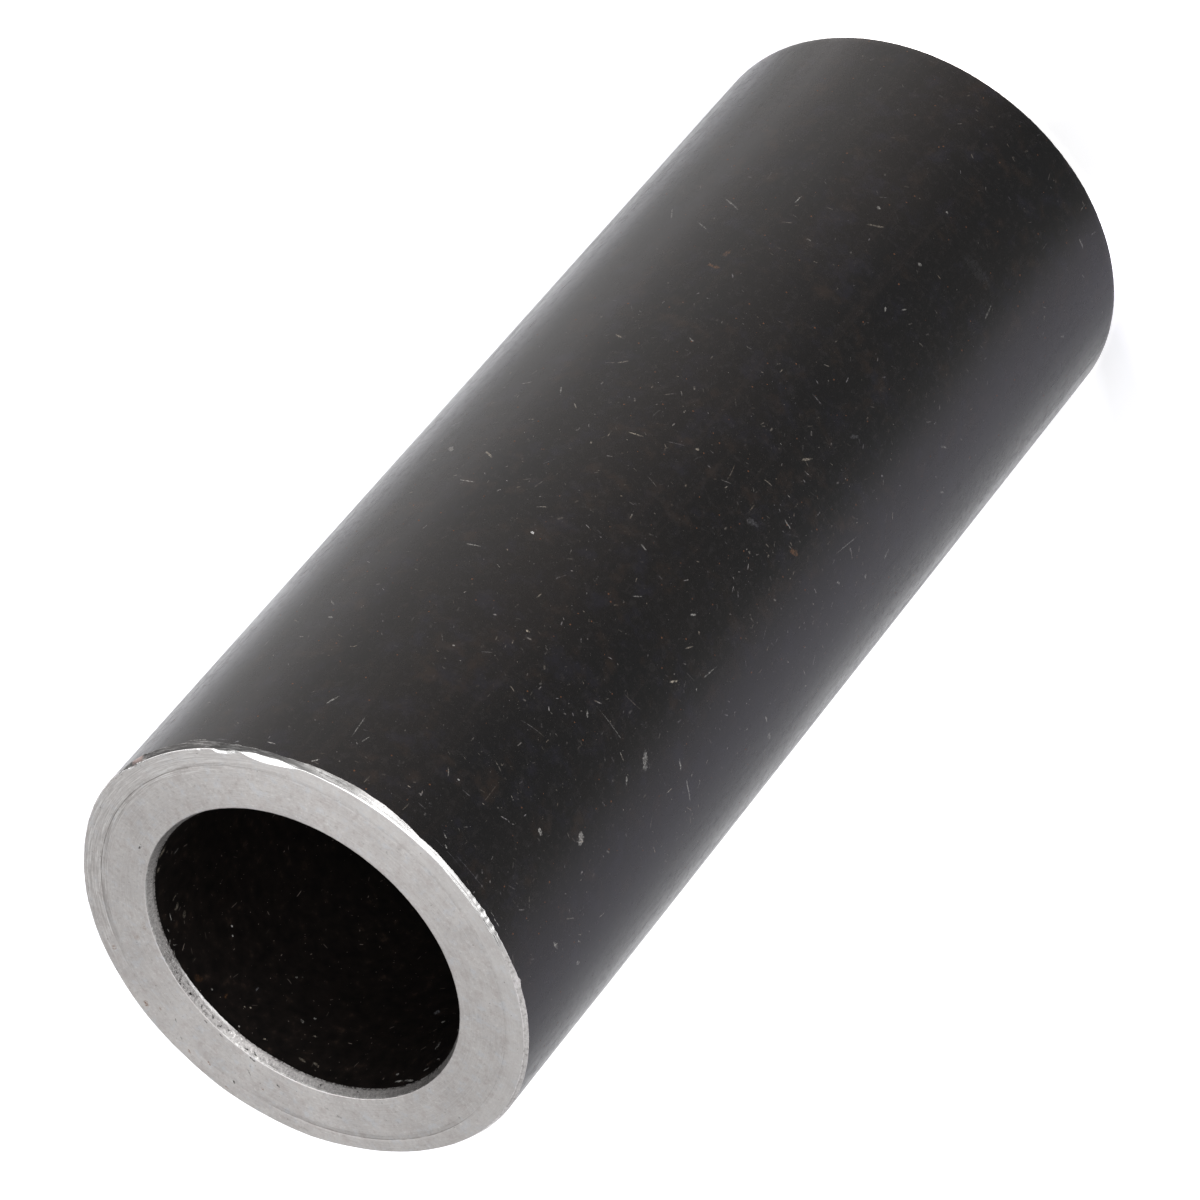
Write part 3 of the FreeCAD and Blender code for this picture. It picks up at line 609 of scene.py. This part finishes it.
def skin_material():
    m = Nodes("black_mill_skin")
    uv = m.add("ShaderNodeUVMap", uv_map="wrap_mm").outputs[0]
    obj = m.add("ShaderNodeTexCoord").outputs["Object"]
    mm = m.vmath("SCALE", obj, scale=1000.0)
    x, y, z = m.sep(mm)
    # drawn tube: streaks run along the axis
    streak = m.noise(m.comb(x, y, m.math("MULTIPLY", z, 0.035)), 0.55, 4.0, 0.62)
    fine_streak = m.noise(m.comb(x, y, m.math("MULTIPLY", z, 0.10)), 4.0, 3.0, 0.6)
    cloud = m.noise(mm, 0.07, 2.0, 0.5)
    patch = m.noise(mm, 0.30, 4.0, 0.65)
    patch2 = m.noise(m.vmath("ADD", mm, (31.0, 17.0, 5.0)), 0.34, 4.0, 0.62)
    mottle = m.noise(mm, 1.15, 5.0, 0.68)
    grain = m.noise(mm, 6.0, 3.0, 0.65)

    base = m.ramp(cloud, (0.3, (0.0018, 0.0017, 0.0019)), (0.5, (0.0024, 0.0020, 0.0019)), (0.7, (0.0034, 0.0027, 0.0024)))
    base = m.mix(m.range(patch, 0.50, 0.72, 0.0, 0.75), base, (0.0062, 0.0058, 0.0092, 1))      # bluish
    base = m.mix(m.range(patch2, 0.52, 0.74, 0.0, 0.75), base, (0.0120, 0.0075, 0.0052, 1))     # brownish
    base = m.mix(m.range(mottle, 0.50, 0.74, 0.0, 0.52), base, (0.0135, 0.0118, 0.0118, 1))
    base = m.mix(m.range(streak, 0.54, 0.76, 0.0, 0.32), base, (0.0130, 0.0092, 0.0078, 1))
    base = m.mix(m.range(grain, 0.56, 0.76, 0.0, 0.52), base, (0.0225, 0.0195, 0.0178, 1))

    # the -X side of the skin is tinted bluish: a painted reflection tint
    base = m.mix(m.range(x, -12.0, -24.0, 0.0, 0.5), base, (0.0050, 0.0044, 0.0105, 1))
    rough = m.mixf(m.range(cloud, 0.3, 0.7), 0.205, 0.26)
    rough = m.math("ADD", rough, m.range(mottle, 0.35, 0.8, -0.03, 0.09))
    rough = m.math("ADD", rough, m.range(streak, 0.35, 0.7, -0.03, 0.04))
    rough = m.math("ADD", rough, m.range(fine_streak, 0.4, 0.7, -0.015, 0.03))

    # fine level scratches in bands, most of them near the upper end
    u, v, _ = m.sep(uv)
    hair = m.noise(m.comb(m.math("MULTIPLY", u, 0.16), m.math("MULTIPLY", v, 7.0), 0.0), 1.0, 3.0, 0.6)
    near_top = m.range(z, LENGTH - 5.0, LENGTH - 1.0, 0.0, 0.5)
    hair_where = m.math("ADD", m.range(m.noise(m.comb(u, m.math("MULTIPLY", v, 0.6), 9.0), 0.09, 3.0, 0.5), 0.56, 0.70, 0.0, 0.5), near_top)
    hair = m.math("MULTIPLY", m.range(hair, 0.60, 0.74), hair_where)
    base = m.mix(m.math("MULTIPLY", hair, 0.8), base, (0.030, 0.028, 0.027, 1))

    # dust and lint. The dust lies thicker in some parts than in others.
    thick = m.range(m.noise(m.vmath("ADD", mm, (3.0, 40.0, 8.0)), 0.05, 2.0, 0.5), 0.38, 0.62, 0.55, 1.6)
    phi = m.math("ARCTAN2", y, x)
    thick = m.math("MULTIPLY", thick, m.range(m.math("ABSOLUTE", m.math("ADD", phi, math.radians(110))), 1.0, 0.25, 0.62, 1.25))
    thick = m.math("MULTIPLY", thick, m.range(z, 15.0, 85.0, 0.55, 1.05))
    dirt = None
    for cell, share, lo, hi, gain, shift in ((0.95, 0.30, 0.03, 0.065, 0.70, 0.0), (2.9, 0.26, 0.06, 0.12, 0.9, 1.3), (0.50, 0.20, 0.02, 0.045, 0.6, 4.7)):
        vec = m.vmath("DIVIDE", m.vmath("ADD", uv, (shift, shift * 0.7, 0.0)), (cell, cell, 1.0))
        d1 = m.voronoi(vec)
        _, c1 = m.white(d1.outputs["Position"])
        r_a, r_b, r_c = m.sep(c1)
        size = m.math("DIVIDE", m.math("MULTIPLY_ADD", m.math("MULTIPLY", r_a, r_a), hi - lo, lo), cell)
        there = m.math("LESS_THAN", r_b, m.math("MULTIPLY", thick, share))
        dot = m.math("MULTIPLY", m.range(d1.outputs["Distance"], size, m.math("MULTIPLY", size, 0.35)), there)
        dot = m.math("MULTIPLY", dot, m.math("MULTIPLY_ADD", m.math("POWER", r_c, 2.0), gain * 0.85, gain * 0.15))
        dirt = dot if dirt is None else m.math("MAXIMUM", dirt, dot)
    for cell, share, lo, hi, half, bend, shift, gain in (
        (3.4, 0.32, 0.5, 1.7, 0.09, 0.35, 0.37, 0.8), (1.6, 0.26, 0.25, 0.8, 0.075, 0.8, 3.1, 0.7),
        (8.0, 0.13, 1.6, 4.0, 0.065, 0.12, 5.9, 0.40), (2.9, 0.14, 0.4, 0.8, 0.15, 0.4, 8.2, 0.6),
    ):
        lint, tone = dashes(m, uv, cell, m.math("MULTIPLY", thick, share), lo, hi, half, bend, shift)
        dirt = m.math("MAXIMUM", dirt, m.math("MULTIPLY", lint, m.math("MULTIPLY", tone, gain)))
    dirt = m.math("MULTIPLY", dirt, m.range(m.noise(mm, 4.0, 3.0, 0.7), 0.38, 0.60, 0.10, 1.0))
    dirt = m.math("MULTIPLY", dirt, m.range(z, 10.0, 90.0, 0.50, 0.95))
    hue = m.noise(mm, 0.45, 2.0, 0.5)
    dust_col = m.ramp(hue, (0.38, (0.27, 0.255, 0.27)), (0.52, (0.28, 0.26, 0.235)), (0.66, (0.30, 0.245, 0.19)))
    col = m.mix(dirt, base, dust_col)
    # brown specks
    d2 = m.voronoi(m.vmath("DIVIDE", uv, (2.4, 2.4, 1.0)))
    _, c2 = m.white(m.vmath("ADD", d2.outputs["Position"], (3.0, 1.0, 2.0)))
    s_a, s_b, s_c = m.sep(c2)
    brown = m.math("MULTIPLY", m.range(d2.outputs["Distance"], m.math("MULTIPLY_ADD", s_a, 0.045, 0.014), 0.006), m.math("LESS_THAN", s_b, 0.30))
    col = m.mix(m.math("MULTIPLY", brown, 0.75), col, (0.15, 0.062, 0.030, 1))
    rough = m.mixf(m.math("MAXIMUM", m.math("MAXIMUM", dirt, brown), m.math("MULTIPLY", hair, 0.4)), rough, 0.8)
    col, rough, drawn = mark_nodes(m, col, rough, 0.62)

    height = m.math("ADD", m.math("MULTIPLY", mottle, 0.5), m.math("MULTIPLY", fine_streak, 0.35))
    n = m.bump(height, 0.35, 0.00002)
    m.set(Base_Color=col, Roughness=rough, Normal=n)
    m.bsdf.inputs["Specular IOR Level"].default_value = 0.10
    return m.mat


def face_material():
    m = Nodes("turned_end_face")
    obj = m.add("ShaderNodeTexCoord").outputs["Object"]
    mm = m.vmath("SCALE", obj, scale=1000.0)
    x, y, z = m.sep(mm)
    flat = m.comb(x, y, 0.0)
    r = m.vmath("LENGTH", flat)
    ang = m.math("ARCTAN2", y, x)
    blotch = m.noise(mm, 0.35, 4.0, 0.6)
    fine = m.noise(mm, 2.3, 4.0, 0.74)
    speck = m.noise(m.vmath("ADD", mm, (9.0, 4.0, 2.0)), 2.2, 4.0, 0.75)
    # tool marks: fine rings that come and go with the angle
    drift = m.noise(m.comb(m.math("MULTIPLY", r, 10.0), m.math("MULTIPLY", x, 0.22), m.math("MULTIPLY", y, 0.22)), 1.0, 3.0, 0.7)
    arcs = m.noise(m.comb(m.math("MULTIPLY", r, 5.0), m.math("MULTIPLY", x, 0.5), m.math("MULTIPLY", y, 0.5)), 1.0, 4.0, 0.7)
    col = m.ramp(blotch, (0.3, (0.600, 0.570, 0.560)), (0.7, (0.675, 0.650, 0.636)))
    col = m.mix(m.range(drift, 0.38, 0.72, 0.0, 0.60), col, (0.76, 0.740, 0.732, 1))
    patch = m.noise(m.vmath("ADD", mm, (20.0, 6.0, 1.0)), 0.8, 4.0, 0.65)
    col = m.mix(m.range(patch, 0.51, 0.68, 0.0, 0.50), col, (0.55, 0.500, 0.487, 1))
    col = m.mix(m.range(patch, 0.47, 0.32, 0.0, 0.60), col, (0.68, 0.69, 0.72, 1))
    col = m.mix(m.range(fine, 0.52, 0.70, 0.0, 0.40), col, (0.38, 0.35, 0.34, 1))
    col = m.mix(m.range(fine, 0.46, 0.30, 0.0, 0.45), col, (0.92, 0.90, 0.89, 1))
    # uneven rings outside the tool's line, at the left of the picture
    left = m.range(m.math("COSINE", ang), 0.35, 0.95)
    rim_arcs = m.noise(m.comb(m.math("MULTIPLY", r, 7.0), m.math("MULTIPLY", x, 0.35), m.math("MULTIPLY", y, 0.35)), 1.0, 3.0, 0.7)
    zone = m.math("MULTIPLY", m.math("MULTIPLY", left, m.range(r, 21.8, 22.9)), 0.9)
    col = m.mix(m.math("MULTIPLY", m.range(rim_arcs, 0.50, 0.62), zone), col, (0.50, 0.475, 0.465, 1))
    col = m.mix(m.math("MULTIPLY", m.range(rim_arcs, 0.46, 0.36), zone), col, (0.88, 0.865, 0.855, 1))
    # lighter outside the tool's line on the -Y half: a painted highlight
    col = m.mix(m.math("MULTIPLY", m.range(r, RING_R, RING_R + 0.6, 0.0, 0.30), m.range(y, 14.0, -6.0)), col, (0.85, 0.83, 0.82, 1))
    # warm speckle, more of it on one side
    side = m.range(m.math("ADD", m.math("MULTIPLY", x, 0.6), m.math("MULTIPLY", y, 0.8)), -22.0, 24.0, 0.35, 1.0)
    col = m.mix(m.math("MULTIPLY", m.range(speck, 0.61, 0.74, 0.0, 0.42), side), col, (0.36, 0.305, 0.285, 1))
    # the line of the tool, plain on one side and nearly gone on the other
    seen = m.math("MAXIMUM", m.range(m.math("COSINE", m.math("SUBTRACT", ang, math.radians(8))), 0.70, 0.90),
                  m.range(m.math("COSINE", m.math("SUBTRACT", ang, math.radians(140))), 0.80, 0.95))
    seen = m.math("MULTIPLY", m.math("MULTIPLY_ADD", seen, 0.8, 0.2), m.range(m.noise(flat, 0.55, 3.0, 0.6), 0.36, 0.56, 0.25, 1.0))
    off = m.math("SUBTRACT", r, m.math("MULTIPLY_ADD", m.math("SUBTRACT", m.noise(flat, 0.15, 1.0, 0.5), 0.5), 0.05, RING_R))
    line = m.range(m.math("ABSOLUTE", off), 0.075, 0.02)
    col = m.mix(m.math("MULTIPLY", line, m.math("MULTIPLY", seen, 0.62)), col, (0.17, 0.15, 0.14, 1))
    line2 = m.range(m.math("ABSOLUTE", m.math("ADD", off, 0.42)), 0.10, 0.03)
    col = m.mix(m.math("MULTIPLY", m.math("MULTIPLY", line2, seen), m.range(drift, 0.4, 0.6, 0.0, 0.30)), col, (0.20, 0.18, 0.17, 1))
    # turning marks along the rings, painted bright as a highlight that is strongest towards -60 degrees
    ring_marks_painted_highlight = m.math("MULTIPLY", m.range(arcs, 0.60, 0.70), m.range(m.math("COSINE", m.math("SUBTRACT", ang, math.radians(-60))), 0.3, 1.0, 0.15, 1.0))
    ring_marks_painted_highlight = m.math("MULTIPLY", ring_marks_painted_highlight, m.range(r, 20.0, 22.5, 0.25, 1.0))
    col = m.mix(m.math("MULTIPLY", ring_marks_painted_highlight, 0.55), col, (0.92, 0.91, 0.90, 1))
    # small pits
    pit = m.voronoi(m.vmath("DIVIDE", flat, (1.7, 1.7, 1.0)))
    _, pc = m.white(pit.outputs["Position"])
    p_a, p_b, p_c = m.sep(pc)
    pits = m.math("MULTIPLY", m.range(pit.outputs["Distance"], m.math("MULTIPLY_ADD", p_a, 0.055, 0.02), 0.012), m.math("LESS_THAN", p_b, m.math("MULTIPLY", side, 0.26)))
    col = m.mix(m.math("MULTIPLY", pits, 0.55), col, (0.12, 0.095, 0.085, 1))
    rough = m.mixf(m.range(drift, 0.3, 0.75), 0.41, 0.33)
    rough = m.math("ADD", rough, m.range(blotch, 0.3, 0.7, -0.03, 0.04))
    rough = m.math("SUBTRACT", rough, m.math("MULTIPLY", ring_marks_painted_highlight, 0.12))
    col, rough, drawn = mark_nodes(m, col, rough, 1.3)
    h = m.math("ADD", m.math("MULTIPLY", fine, 0.4), m.math("MULTIPLY", drift, 0.6))
    n = m.bump(h, 0.40, 0.00002)
    m.set(Base_Color=col, Roughness=rough, Normal=n)
    m.bsdf.inputs["Metallic"].default_value = 1.0
    # turned metal spreads light across its rings
    m.bsdf.inputs["Anisotropic"].default_value = 0.28
    m.bsdf.inputs["Anisotropic Rotation"].default_value = 0.25
    m.set(Tangent=m.add("ShaderNodeTangent", direction_type="RADIAL", axis="Z").outputs[0])
    return m.mat


def break_material():
    m = Nodes("turned_edge_break")
    obj = m.add("ShaderNodeTexCoord").outputs["Object"]
    mm = m.vmath("SCALE", obj, scale=1000.0)
    x, y, z = m.sep(mm)
    r = m.vmath("LENGTH", m.comb(x, y, 0.0))
    # fine lines that run round with the edge
    lines = m.noise(m.comb(m.math("MULTIPLY", x, 0.18), m.math("MULTIPLY", y, 0.18), m.math("MULTIPLY", m.math("SUBTRACT", z, r), 11.0)), 1.0, 4.0, 0.7)
    wisps = m.noise(m.comb(m.math("MULTIPLY", x, 0.7), m.math("MULTIPLY", y, 0.7), m.math("MULTIPLY", m.math("SUBTRACT", z, r), 6.0)), 1.0, 4.0, 0.7)
    chips = m.noise(mm, 2.6, 4.0, 0.7)
    col = m.ramp(lines, (0.3, (0.50, 0.49, 0.485)), (0.6, (0.70, 0.69, 0.685)))
    col = m.mix(m.range(wisps, 0.60, 0.70, 0.0, 0.65), col, (0.16, 0.155, 0.15, 1))
    col = m.mix(m.range(chips, 0.64, 0.73, 0.0, 0.8), col, (0.05, 0.047, 0.045, 1))
    # dark and dull on the break between about -58 and -14 degrees, from the burr to the slivers
    ang = m.math("ARCTAN2", y, x)
    dull = m.range(m.math("ABSOLUTE", m.math("SUBTRACT", ang, math.radians(-36.0))), math.radians(30.0), math.radians(22.0))
    dull = m.math("MULTIPLY", dull, m.range(wisps, 0.50, 0.66, 1.0, 0.45))
    col = m.mix(m.math("MULTIPLY", dull, 0.93), col, (0.10, 0.098, 0.096, 1))
    grey_part = m.range(m.math("ABSOLUTE", m.math("SUBTRACT", ang, math.radians(-68.0))), math.radians(12.0), math.radians(6.0))
    col = m.mix(m.math("MULTIPLY", grey_part, m.range(wisps, 0.40, 0.60, 0.85, 0.45)), col, (0.22, 0.215, 0.21, 1))
    pink = m.range(m.math("ABSOLUTE", m.math("SUBTRACT", ang, math.radians(-14.9))), math.radians(2.3), math.radians(1.3))
    col = m.mix(m.math("MULTIPLY", pink, 0.8), col, (0.42, 0.33, 0.31, 1))
    plain = m.math("ADD", m.range(ang, math.radians(-121), math.radians(-127)), m.range(ang, math.radians(-10), math.radians(-4)), clamp=True)
    col = m.mix(plain, col, m.ramp(chips, (0.35, (0.72, 0.70, 0.69)), (0.56, (0.56, 0.54, 0.53)), (0.70, (0.30, 0.285, 0.28))))
    # the small inner facet is cleaner and smoother
    wide = m.range(m.math("ABSOLUTE", m.math("SUBTRACT", ang, math.radians(-55.0))), math.radians(8.0), math.radians(5.5), 0.0, 0.085)
    inner = m.math("MULTIPLY", m.range(m.math("ADD", z, wide), LENGTH - 0.075, LENGTH - 0.05), m.math("SUBTRACT", 1.0, plain))
    col = m.mix(m.math("MULTIPLY", inner, 0.85), col, (0.80, 0.795, 0.79, 1))
    # the skin's edge is worn bright in places
    worn = m.math("MULTIPLY", m.range(r, R_OUT - 0.035, R_OUT - 0.012), m.range(m.noise(mm, 0.9, 3.0, 0.7), 0.42, 0.56))
    rough = m.mixf(m.range(lines, 0.3, 0.7), 0.36, 0.24)
    rough = m.mixf(m.math("MAXIMUM", dull, plain), rough, 0.5)
    rough = m.mixf(inner, rough, 0.17)
    rough = m.mixf(worn, rough, 0.6)
    n = m.bump(m.math("ADD", lines, m.math("MULTIPLY", chips, 0.5)), 0.5, 0.00002)
    m.set(Base_Color=col, Roughness=rough, Normal=n)
    m.bsdf.inputs["Metallic"].default_value = 1.0
    return m.mat


def mouth_material():
    m = Nodes("turned_mouth_chamfer")
    obj = m.add("ShaderNodeTexCoord").outputs["Object"]
    mm = m.vmath("SCALE", obj, scale=1000.0)
    x, y, z = m.sep(mm)
    chatter = m.noise(mm, 3.2, 4.0, 0.75)
    lines = m.noise(m.comb(m.math("MULTIPLY", x, 0.3), m.math("MULTIPLY", y, 0.3), m.math("MULTIPLY", z, 9.0)), 1.0, 4.0, 0.7)
    chips = m.noise(m.vmath("ADD", mm, (5.0, 8.0, 1.0)), 1.7, 4.0, 0.72)
    col = m.ramp(chatter, (0.34, (0.44, 0.42, 0.42)), (0.54, (0.70, 0.675, 0.665)), (0.70, (0.97, 0.95, 0.94)))
    col = m.mix(m.range(lines, 0.56, 0.70, 0.0, 0.45), col, (0.26, 0.245, 0.24, 1))
    col = m.mix(m.range(chips, 0.63, 0.70, 0.0, 0.85), col, (0.045, 0.040, 0.040, 1))
    rough = m.mixf(m.range(chatter, 0.35, 0.7), 0.56, 0.26)
    # a bright worn line beside the face, and dark grit beside the bore
    quiet = m.range(m.math("ABSOLUTE", m.math("SUBTRACT", m.math("ARCTAN2", y, x), math.radians(74.0))), math.radians(18.0), math.radians(10.0))
    loud = m.math("SUBTRACT", 1.0, quiet)
    col = m.mix(m.math("MULTIPLY", quiet, 0.62), col, (0.47, 0.45, 0.445, 1))
    low_line = m.math("MULTIPLY", m.range(z, LENGTH - 0.80, LENGTH - 0.95), quiet)
    col = m.mix(m.math("MULTIPLY", low_line, 0.8), col, (0.97, 0.96, 0.95, 1))
    lip = m.math("MULTIPLY", m.range(z, LENGTH - 0.24, LENGTH - 0.10), loud)
    col = m.mix(m.math("MULTIPLY", lip, m.range(chips, 0.42, 0.56)), col, (0.97, 0.96, 0.95, 1))
    grit = m.math("MULTIPLY", m.math("MULTIPLY", m.range(z, LENGTH - 0.75, LENGTH - 1.05), loud), m.range(chatter, 0.44, 0.56))
    col = m.mix(m.math("MULTIPLY", grit, 0.9), col, (0.05, 0.043, 0.040, 1))
    col, rough, drawn = mark_nodes(m, col, rough)
    n = m.bump(m.math("ADD", m.math("MULTIPLY", lines, 0.5), chatter), 0.9, 0.00005)
    m.set(Base_Color=col, Roughness=rough, Normal=n)
    m.bsdf.inputs["Metallic"].default_value = 1.0
    return m.mat


def bore_material():
    m = Nodes("black_bore_skin")
    uv = m.add("ShaderNodeUVMap", uv_map="wrap_mm").outputs[0]
    obj = m.add("ShaderNodeTexCoord").outputs["Object"]
    mm = m.vmath("SCALE", obj, scale=1000.0)
    mottle = m.noise(mm, 0.8, 5.0, 0.65)
    streak = m.noise(m.vmath("MULTIPLY", mm, (1.0, 1.0, 0.08)), 0.8, 4.0, 0.6)
    base = m.ramp(mottle, (0.35, (0.0050, 0.0043, 0.0042)), (0.6, (0.0110, 0.0085, 0.0076)), (0.8, (0.050, 0.033, 0.025)))
    base = m.mix(m.range(streak, 0.55, 0.75, 0.0, 0.5), base, (0.010, 0.007, 0.006, 1))
    d1 = m.voronoi(m.vmath("DIVIDE", uv, (1.1, 1.1, 1.0)))
    w1, c1 = m.white(d1.outputs["Position"])
    r_a, r_b, r_c = m.sep(c1)
    size = m.math("MULTIPLY_ADD", r_a, 0.05, 0.02)
    dirt = m.math("MULTIPLY", m.range(d1.outputs["Distance"], size, m.math("MULTIPLY", size, 0.4)), m.math("LESS_THAN", r_b, 0.3))
    dirt = m.math("MULTIPLY", dirt, m.math("MULTIPLY_ADD", r_c, 0.7, 0.1))
    for cell, share, lo, hi, half, shift, gain in ((2.6, 0.3, 0.3, 1.3, 0.08, 1.1, 0.7), (6.0, 0.15, 0.8, 2.2, 0.06, 6.3, 0.4)):
        lint, tone = dashes(m, uv, cell, share, lo, hi, half, 0.4, shift)
        dirt = m.math("MAXIMUM", dirt, m.math("MULTIPLY", lint, m.math("MULTIPLY", tone, gain)))
    col = m.mix(dirt, base, (0.42, 0.35, 0.31, 1))
    col, rough, drawn = mark_nodes(m, col, 0.5, 1.3)
    n = m.bump(mottle, 0.4, 0.00005)
    m.set(Base_Color=col, Roughness=rough, Normal=n)
    m.bsdf.inputs["Specular IOR Level"].default_value = 0.12
    return m.mat


for make in (skin_material, face_material, break_material, mouth_material, bore_material):
    mesh.materials.append(make())

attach(sleeve, "root")
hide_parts("bushing_sleeve")

# ---------------------------------------------------------------------------
# Floor
# ---------------------------------------------------------------------------
bpy.ops.mesh.primitive_circle_add(vertices=96, radius=6.0, fill_type="NGON", location=(0, 0, 0))
floor = bpy.context.object
floor.name = "floor"
fm = Nodes("pale_floor_painted_glow")
fobj = fm.add("ShaderNodeTexCoord").outputs["Object"]
fcol = fm.ramp(fm.noise(fobj, 3.0, 2.0, 0.5), (0.3, (0.87, 0.87, 0.87)), (0.7, (0.89, 0.89, 0.89)))
# The table top glows by itself, a painted glow for the sleeve's wall to mirror: more at the sides than in front,
# and it all stays near white in the picture. t is 0 to 1 for the parts of the table that the wall at -180 to 0 degrees
# mirrors.
fx, fy, _ = fm.sep(fobj)
f_rho = fm.vmath("LENGTH", fm.comb(fx, fy, 0.0))
f_beta = fm.math("ARCTAN2", fx, fm.math("MULTIPLY", fy, -1.0))
f_open = fm.math("MAXIMUM", fm.math("MULTIPLY_ADD", f_rho, 2.0, -R_OUT * MM), 0.01)
f_delta = fm.math("DIVIDE", fm.math("MULTIPLY", f_beta, f_rho), f_open)
f_t = fm.math("MULTIPLY_ADD", f_delta, 1.0 / math.pi, 0.5, clamp=True)
GLOW_SCALE = 2.2
glow = (
    # angle of the wall that mirrors it, radiance, red and blue against green
    (-180, 0.50, 1.0, 1.06), (-175, 0.44, 1.0, 1.06), (-169, 0.32, 1.0, 1.06), (-160, 0.31, 1.0, 1.10), (-150, 0.44, 1.02, 1.15), (-140, 0.86, 1.04, 1.16),
    (-130, 1.20, 1.04, 1.13), (-125, 1.06, 1.03, 1.09), (-120, 0.56, 1.0, 1.03), (-115, 0.36, 1.0, 1.02),
    (-110, 0.33, 1.0, 1.03), (-100, 0.32, 1.0, 1.03), (-94, 0.41, 1.02, 1.02), (-89, 0.66, 1.06, 1.0),
    (-84, 0.98, 1.09, 0.98), (-80, 1.20, 1.10, 0.97), (-75, 1.45, 1.10, 0.97), (-70, 1.70, 1.09, 0.97),
    (-60, 1.98, 1.05, 0.98), (-50, 1.76, 1.05, 0.99), (-40, 1.76, 1.05, 1.0), (-34, 1.20, 1.04, 1.0),
    (-28, 0.78, 1.03, 1.0), (-20, 0.66, 1.02, 1.06), (-14, 0.71, 1.01, 1.08), (-6, 0.56, 1.0, 1.07), (0, 0.50, 1.0, 1.06),
)
f_glow = fm.ramp(f_t, *[((a + 180) / 180, (v * r / GLOW_SCALE, v / GLOW_SCALE, v * b / GLOW_SCALE)) for a, v, r, b in glow])
fm.set(Base_Color=fcol, Emission_Color=f_glow)
fm.bsdf.inputs["Emission Strength"].default_value = GLOW_SCALE
fm.bsdf.inputs["Roughness"].default_value = 0.9
fm.bsdf.inputs["Specular IOR Level"].default_value = 0.1
floor.data.materials.append(fm.mat)

# ---------------------------------------------------------------------------
# Light
# ---------------------------------------------------------------------------
world = bpy.data.worlds.new("studio")
world.use_nodes = True
bpy.context.scene.world = world
wt = world.node_tree
bg = wt.nodes["Background"]
bg.inputs[0].default_value = (1.0, 1.0, 1.0, 1.0)
# soft light from above that falls off towards the horizon
w_dir = wt.nodes.new("ShaderNodeTexCoord")
w_xyz = wt.nodes.new("ShaderNodeSeparateXYZ")
w_map = wt.nodes.new("ShaderNodeMapRange")
w_map.interpolation_type = "SMOOTHSTEP"
for socket, value in zip(w_map.inputs[1:5], (0.2, 1.0, 0.0, 1.0)):
    socket.default_value = value
wt.links.new(w_dir.outputs["Generated"], w_xyz.inputs[0])
wt.links.new(w_xyz.outputs[2], w_map.inputs[0])
wt.links.new(w_map.outputs[0], bg.inputs[1])


def area(name, wide, tall, radiance, tint=(1, 1, 1)):
    """A rectangular light that the camera doesn't see. radiance is what a mirror would show of it."""
    data = bpy.data.lights.new(name, "AREA")
    data.shape = "RECTANGLE"
    data.size, data.size_y = wide, tall
    data.energy = radiance * math.pi * wide * tall
    data.color = tint
    ob = bpy.data.objects.new(name, data)
    ob.rotation_mode = "QUATERNION"
    ob.visible_camera = False
    bpy.context.scene.collection.objects.link(ob)
    return ob


def softbox(name, azimuth, elevation, distance, wide, tall, radiance, tint=(1, 1, 1), aim=(0, 0, 0.07)):
    """A light that faces the sleeve from a direction in degrees."""
    ob = area(name, wide, tall, radiance, tint)
    a, e = math.radians(azimuth), math.radians(elevation)
    out = Vector((math.cos(a) * math.cos(e), math.sin(a) * math.cos(e), math.sin(e)))
    ob.location = Vector(aim) + out * distance
    ob.rotation_quaternion = out.to_track_quat("Z", "Y")
    return ob


softbox("key_front", -90, 48, 1.3, 2.0, 0.45, 2.4)
softbox("top", 70, 63, 1.3, 0.5, 0.5, 1.6)
softbox("left", 168, 14, 1.1, 1.3, 0.5, 0.95)
softbox("right", -12, 12, 1.1, 0.9, 0.4, 0.65)
softbox("front_low", -90, 15, 1.3, 1.9, 0.42, 2.3)

# ---------------------------------------------------------------------------
# Camera
# ---------------------------------------------------------------------------
cam_data = bpy.data.cameras.new("camera")
cam = bpy.data.objects.new("camera", cam_data)
bpy.context.scene.collection.objects.link(cam)
cam_data.sensor_width = 36.0
cam_data.lens = 207.858
cam_data.clip_start, cam_data.clip_end = 0.05, 50.0
right = Vector((-0.765591, -0.428870, -0.479521))
upward = Vector((0.643328, -0.510376, -0.570653))
back = right.cross(upward).normalized()
cam.matrix_world = Matrix(
    (
        (right.x, upward.x, back.x, -0.0000342),
        (right.y, upward.y, back.y, -0.5391574),
        (right.z, upward.z, back.z, 0.5538199),
        (0, 0, 0, 1),
    )
)
bpy.context.scene.camera = cam
bpy.context.scene.view_settings.view_transform = "Standard"
